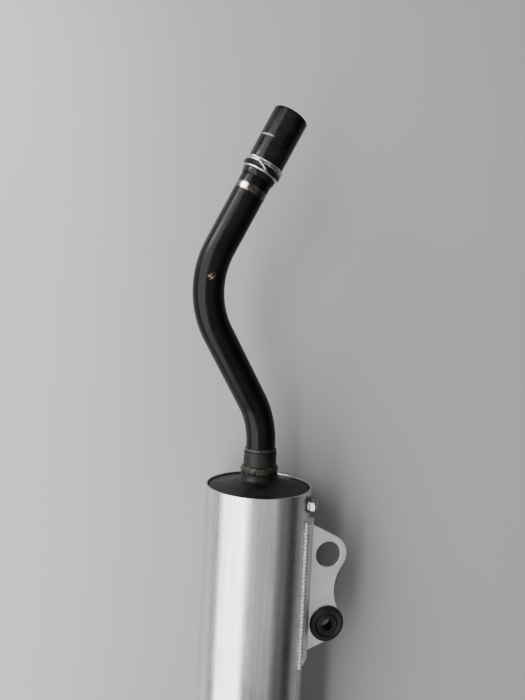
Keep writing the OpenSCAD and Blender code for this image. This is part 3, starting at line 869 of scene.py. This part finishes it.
def hex_bolt(name, place):
    """A hexagon head with a chamfered top and a shallow dish, on a round shank."""
    seat, half_af, n = CAN_R + WASHER_T, HEX_AF / 2, 144
    face_r = 0.96 * half_af  # of the round face inside the chamfer

    def circle(r, z):
        return [place(r, 2 * math.pi * k / n, seat + z) for k in range(n)]

    # Two of the hexagon's corners point along the can, and the chamfer cuts them at 30 degrees
    hex_low, hex_high = [], []
    for k in range(n):
        t = 2 * math.pi * k / n
        r = half_af / math.cos((t + math.pi / 6) % (math.pi / 3) - math.pi / 6)
        hex_low.append(place(r, t, seat + 0.15))
        hex_high.append(place(r, t, seat + (HEAD_H - 0.08 - (r - face_r) * math.tan(math.radians(30)))))
    rings = [circle(SHANK_R, -SHANK_LENGTH), circle(SHANK_R, 0), circle(half_af * 0.97, 0), hex_low, hex_high]
    rings += [circle(face_r, HEAD_H), circle(0.62 * half_af, HEAD_H - 0.05)]
    rings += [circle(0.5 * half_af, HEAD_H - 0.35), circle(0.02, HEAD_H - 0.35)]
    verts = [p for ring in rings for p in ring]
    faces = []
    for i in range(len(rings) - 1):
        faces += band(i * n, (i + 1) * n, n)
    faces += [tuple(range(n)), tuple((len(rings) - 1) * n + k for k in range(n))]
    return new_object(name, verts, faces, 28)


bolts = [hex_bolt(f"bolt_{i}", at_bolt(a)) for i, a in enumerate(BOLT_ANGLES)]
stand_for(joined("bolts", bolts), "cap_bolts")
washer = rounded([(WASHER_HOLE_R, 0), (WASHER_R, 0), (WASHER_R, WASHER_T), (WASHER_HOLE_R, WASHER_T)], 0.25)
washer = [(r, CAN_R + s) for r, s in washer]
washers = [lathe(f"washer_{i}", washer, at_bolt(a), 96) for i, a in enumerate(BOLT_ANGLES)]
stand_for(joined("washers", washers), "cap_washers")

# ---- CAD nodes that stay as they are ----
for name, node in frame["nodes"].items():
    if not node.hide_render:
        node.data.materials.clear()
        node.data.materials.append(FINISH[SLOT_OF[name]])
        smooth(node.data, 35)

# ---- Camera: almost straight down on the can, as in the photograph ----
TILT, LEAN = math.radians(1.4), math.radians(2.9)
back = Vector((0, math.sin(TILT), math.cos(TILT)))
level = Vector((0, math.cos(TILT), -math.sin(TILT)))
right = math.cos(LEAN) * Vector((1, 0, 0)) + math.sin(LEAN) * level
up = -math.sin(LEAN) * Vector((1, 0, 0)) + math.cos(LEAN) * level
eye = Vector((0, RIM, 0)) + 2.9 * right + 101 * up + 423 * back  # from the centre of the can's near rim
cam_data = bpy.data.cameras.new("camera")
cam_data.lens, cam_data.sensor_width = 28.8, 36
cam_data.clip_start, cam_data.clip_end = 0.01, 20
camera = linked("camera", cam_data)
camera.matrix_world = axes_at(eye * MM, right, up, back)
bpy.context.scene.camera = camera

# ---- Floor and light ----
FLOOR = 3.0  # metres from its middle to its sides
floor_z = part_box("can_shell")[0].z - 0.0002
floor_me = bpy.data.meshes.new("floor")
corners = [(x * FLOOR, y * FLOOR, floor_z) for x, y in ((-1, -1), (1, -1), (1, 1), (-1, 1))]
floor_me.from_pydata(corners, [], [(0, 1, 2, 3)])
floor = linked("floor", floor_me)
ground = Mat("floor", (0.235, 0.24, 0.239), 0, 0.35)
floor_me.materials.append(ground.m)

world = bpy.data.worlds.new("world")
world.use_nodes = True
world.node_tree.nodes["Background"].inputs[0].default_value = (0.9, 0.95, 1.0, 1)
world.node_tree.nodes["Background"].inputs[1].default_value = 0.03
bpy.context.scene.world = world


def area_light(name, zenith, distance, y, size, radiance):
    """A soft white panel facing the can from a zenith angle in degrees, with positive to the right.

    The distance, the station y and the size, across and along the can, are in metres.
    """
    data = bpy.data.lights.new(name, "AREA")
    data.shape, data.size, data.size_y = "RECTANGLE", size[0], size[1]
    data.energy = math.pi * size[0] * size[1] * radiance
    a = math.radians(zenith)
    out = Vector((math.sin(a), 0, math.cos(a)))
    linked(name, data).matrix_world = axes_at(out * distance + ALONG * y, ALONG.cross(out), ALONG, out)


area_light("window", -49, 0.95, 0.1, (1.0, 2.4), 6.6)
area_light("window_edge", -26, 1.3, 0.3, (0.09, 2.4), 9.0)
area_light("ceiling", 16, 1.6, 0.2, (1.5, 2.6), 0.7)
area_light("room", 50, 1.6, 0.1, (1.2, 2.6), 0.15)
area_light("far_window", -60, 1.1, 1.15, (0.5, 0.5), 16.0)
